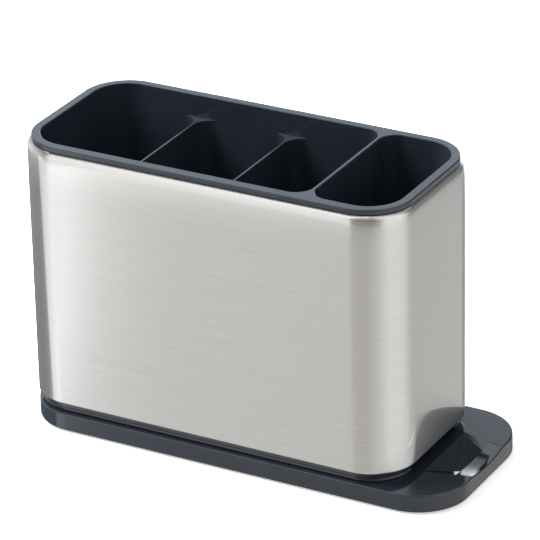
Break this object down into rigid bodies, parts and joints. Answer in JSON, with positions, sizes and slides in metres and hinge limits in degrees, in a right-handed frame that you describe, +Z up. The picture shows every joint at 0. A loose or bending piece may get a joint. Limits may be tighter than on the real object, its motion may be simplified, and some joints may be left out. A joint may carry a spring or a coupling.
{
  "type": "sink caddy",
  "caption": "Rounded rectangular steel sink caddy with a divided plastic insert, standing on a drip tray whose channel ends in a pouring lip.",
  "frame": {"origin": "centre of the overall footprint, on the surface that the four feet stand on", "axes": "+X along the long side towards the spout, +Y to the back, +Z up"},
  "size_m": [0.2442, 0.1002, 0.1591],
  "materials": {
    "brushed_steel": "fine horizontal brushing, satin",
    "gloss_plastic": "smooth dark blue-grey, glossy",
    "rubber": "matte black"
  },
  "bodies": {
    "base": {"base_tray": "gloss_plastic", "foot_front_left": "rubber", "foot_front_right": "rubber", "foot_back_left": "rubber", "foot_back_right": "rubber"},
    "sleeve": {"steel_sleeve": "brushed_steel"},
    "insert": {"caddy_insert": "gloss_plastic"}
  },
  "joints": [
    {"name": "sleeve_lift", "type": "slide", "parent": "base", "child": "sleeve", "axis": [0, 0, 1], "range_m": [0, 0.04]},
    {"name": "insert_lift", "type": "slide", "parent": "sleeve", "child": "insert", "axis": [0, 0, 1], "range_m": [0, 0.15]}
  ]
}
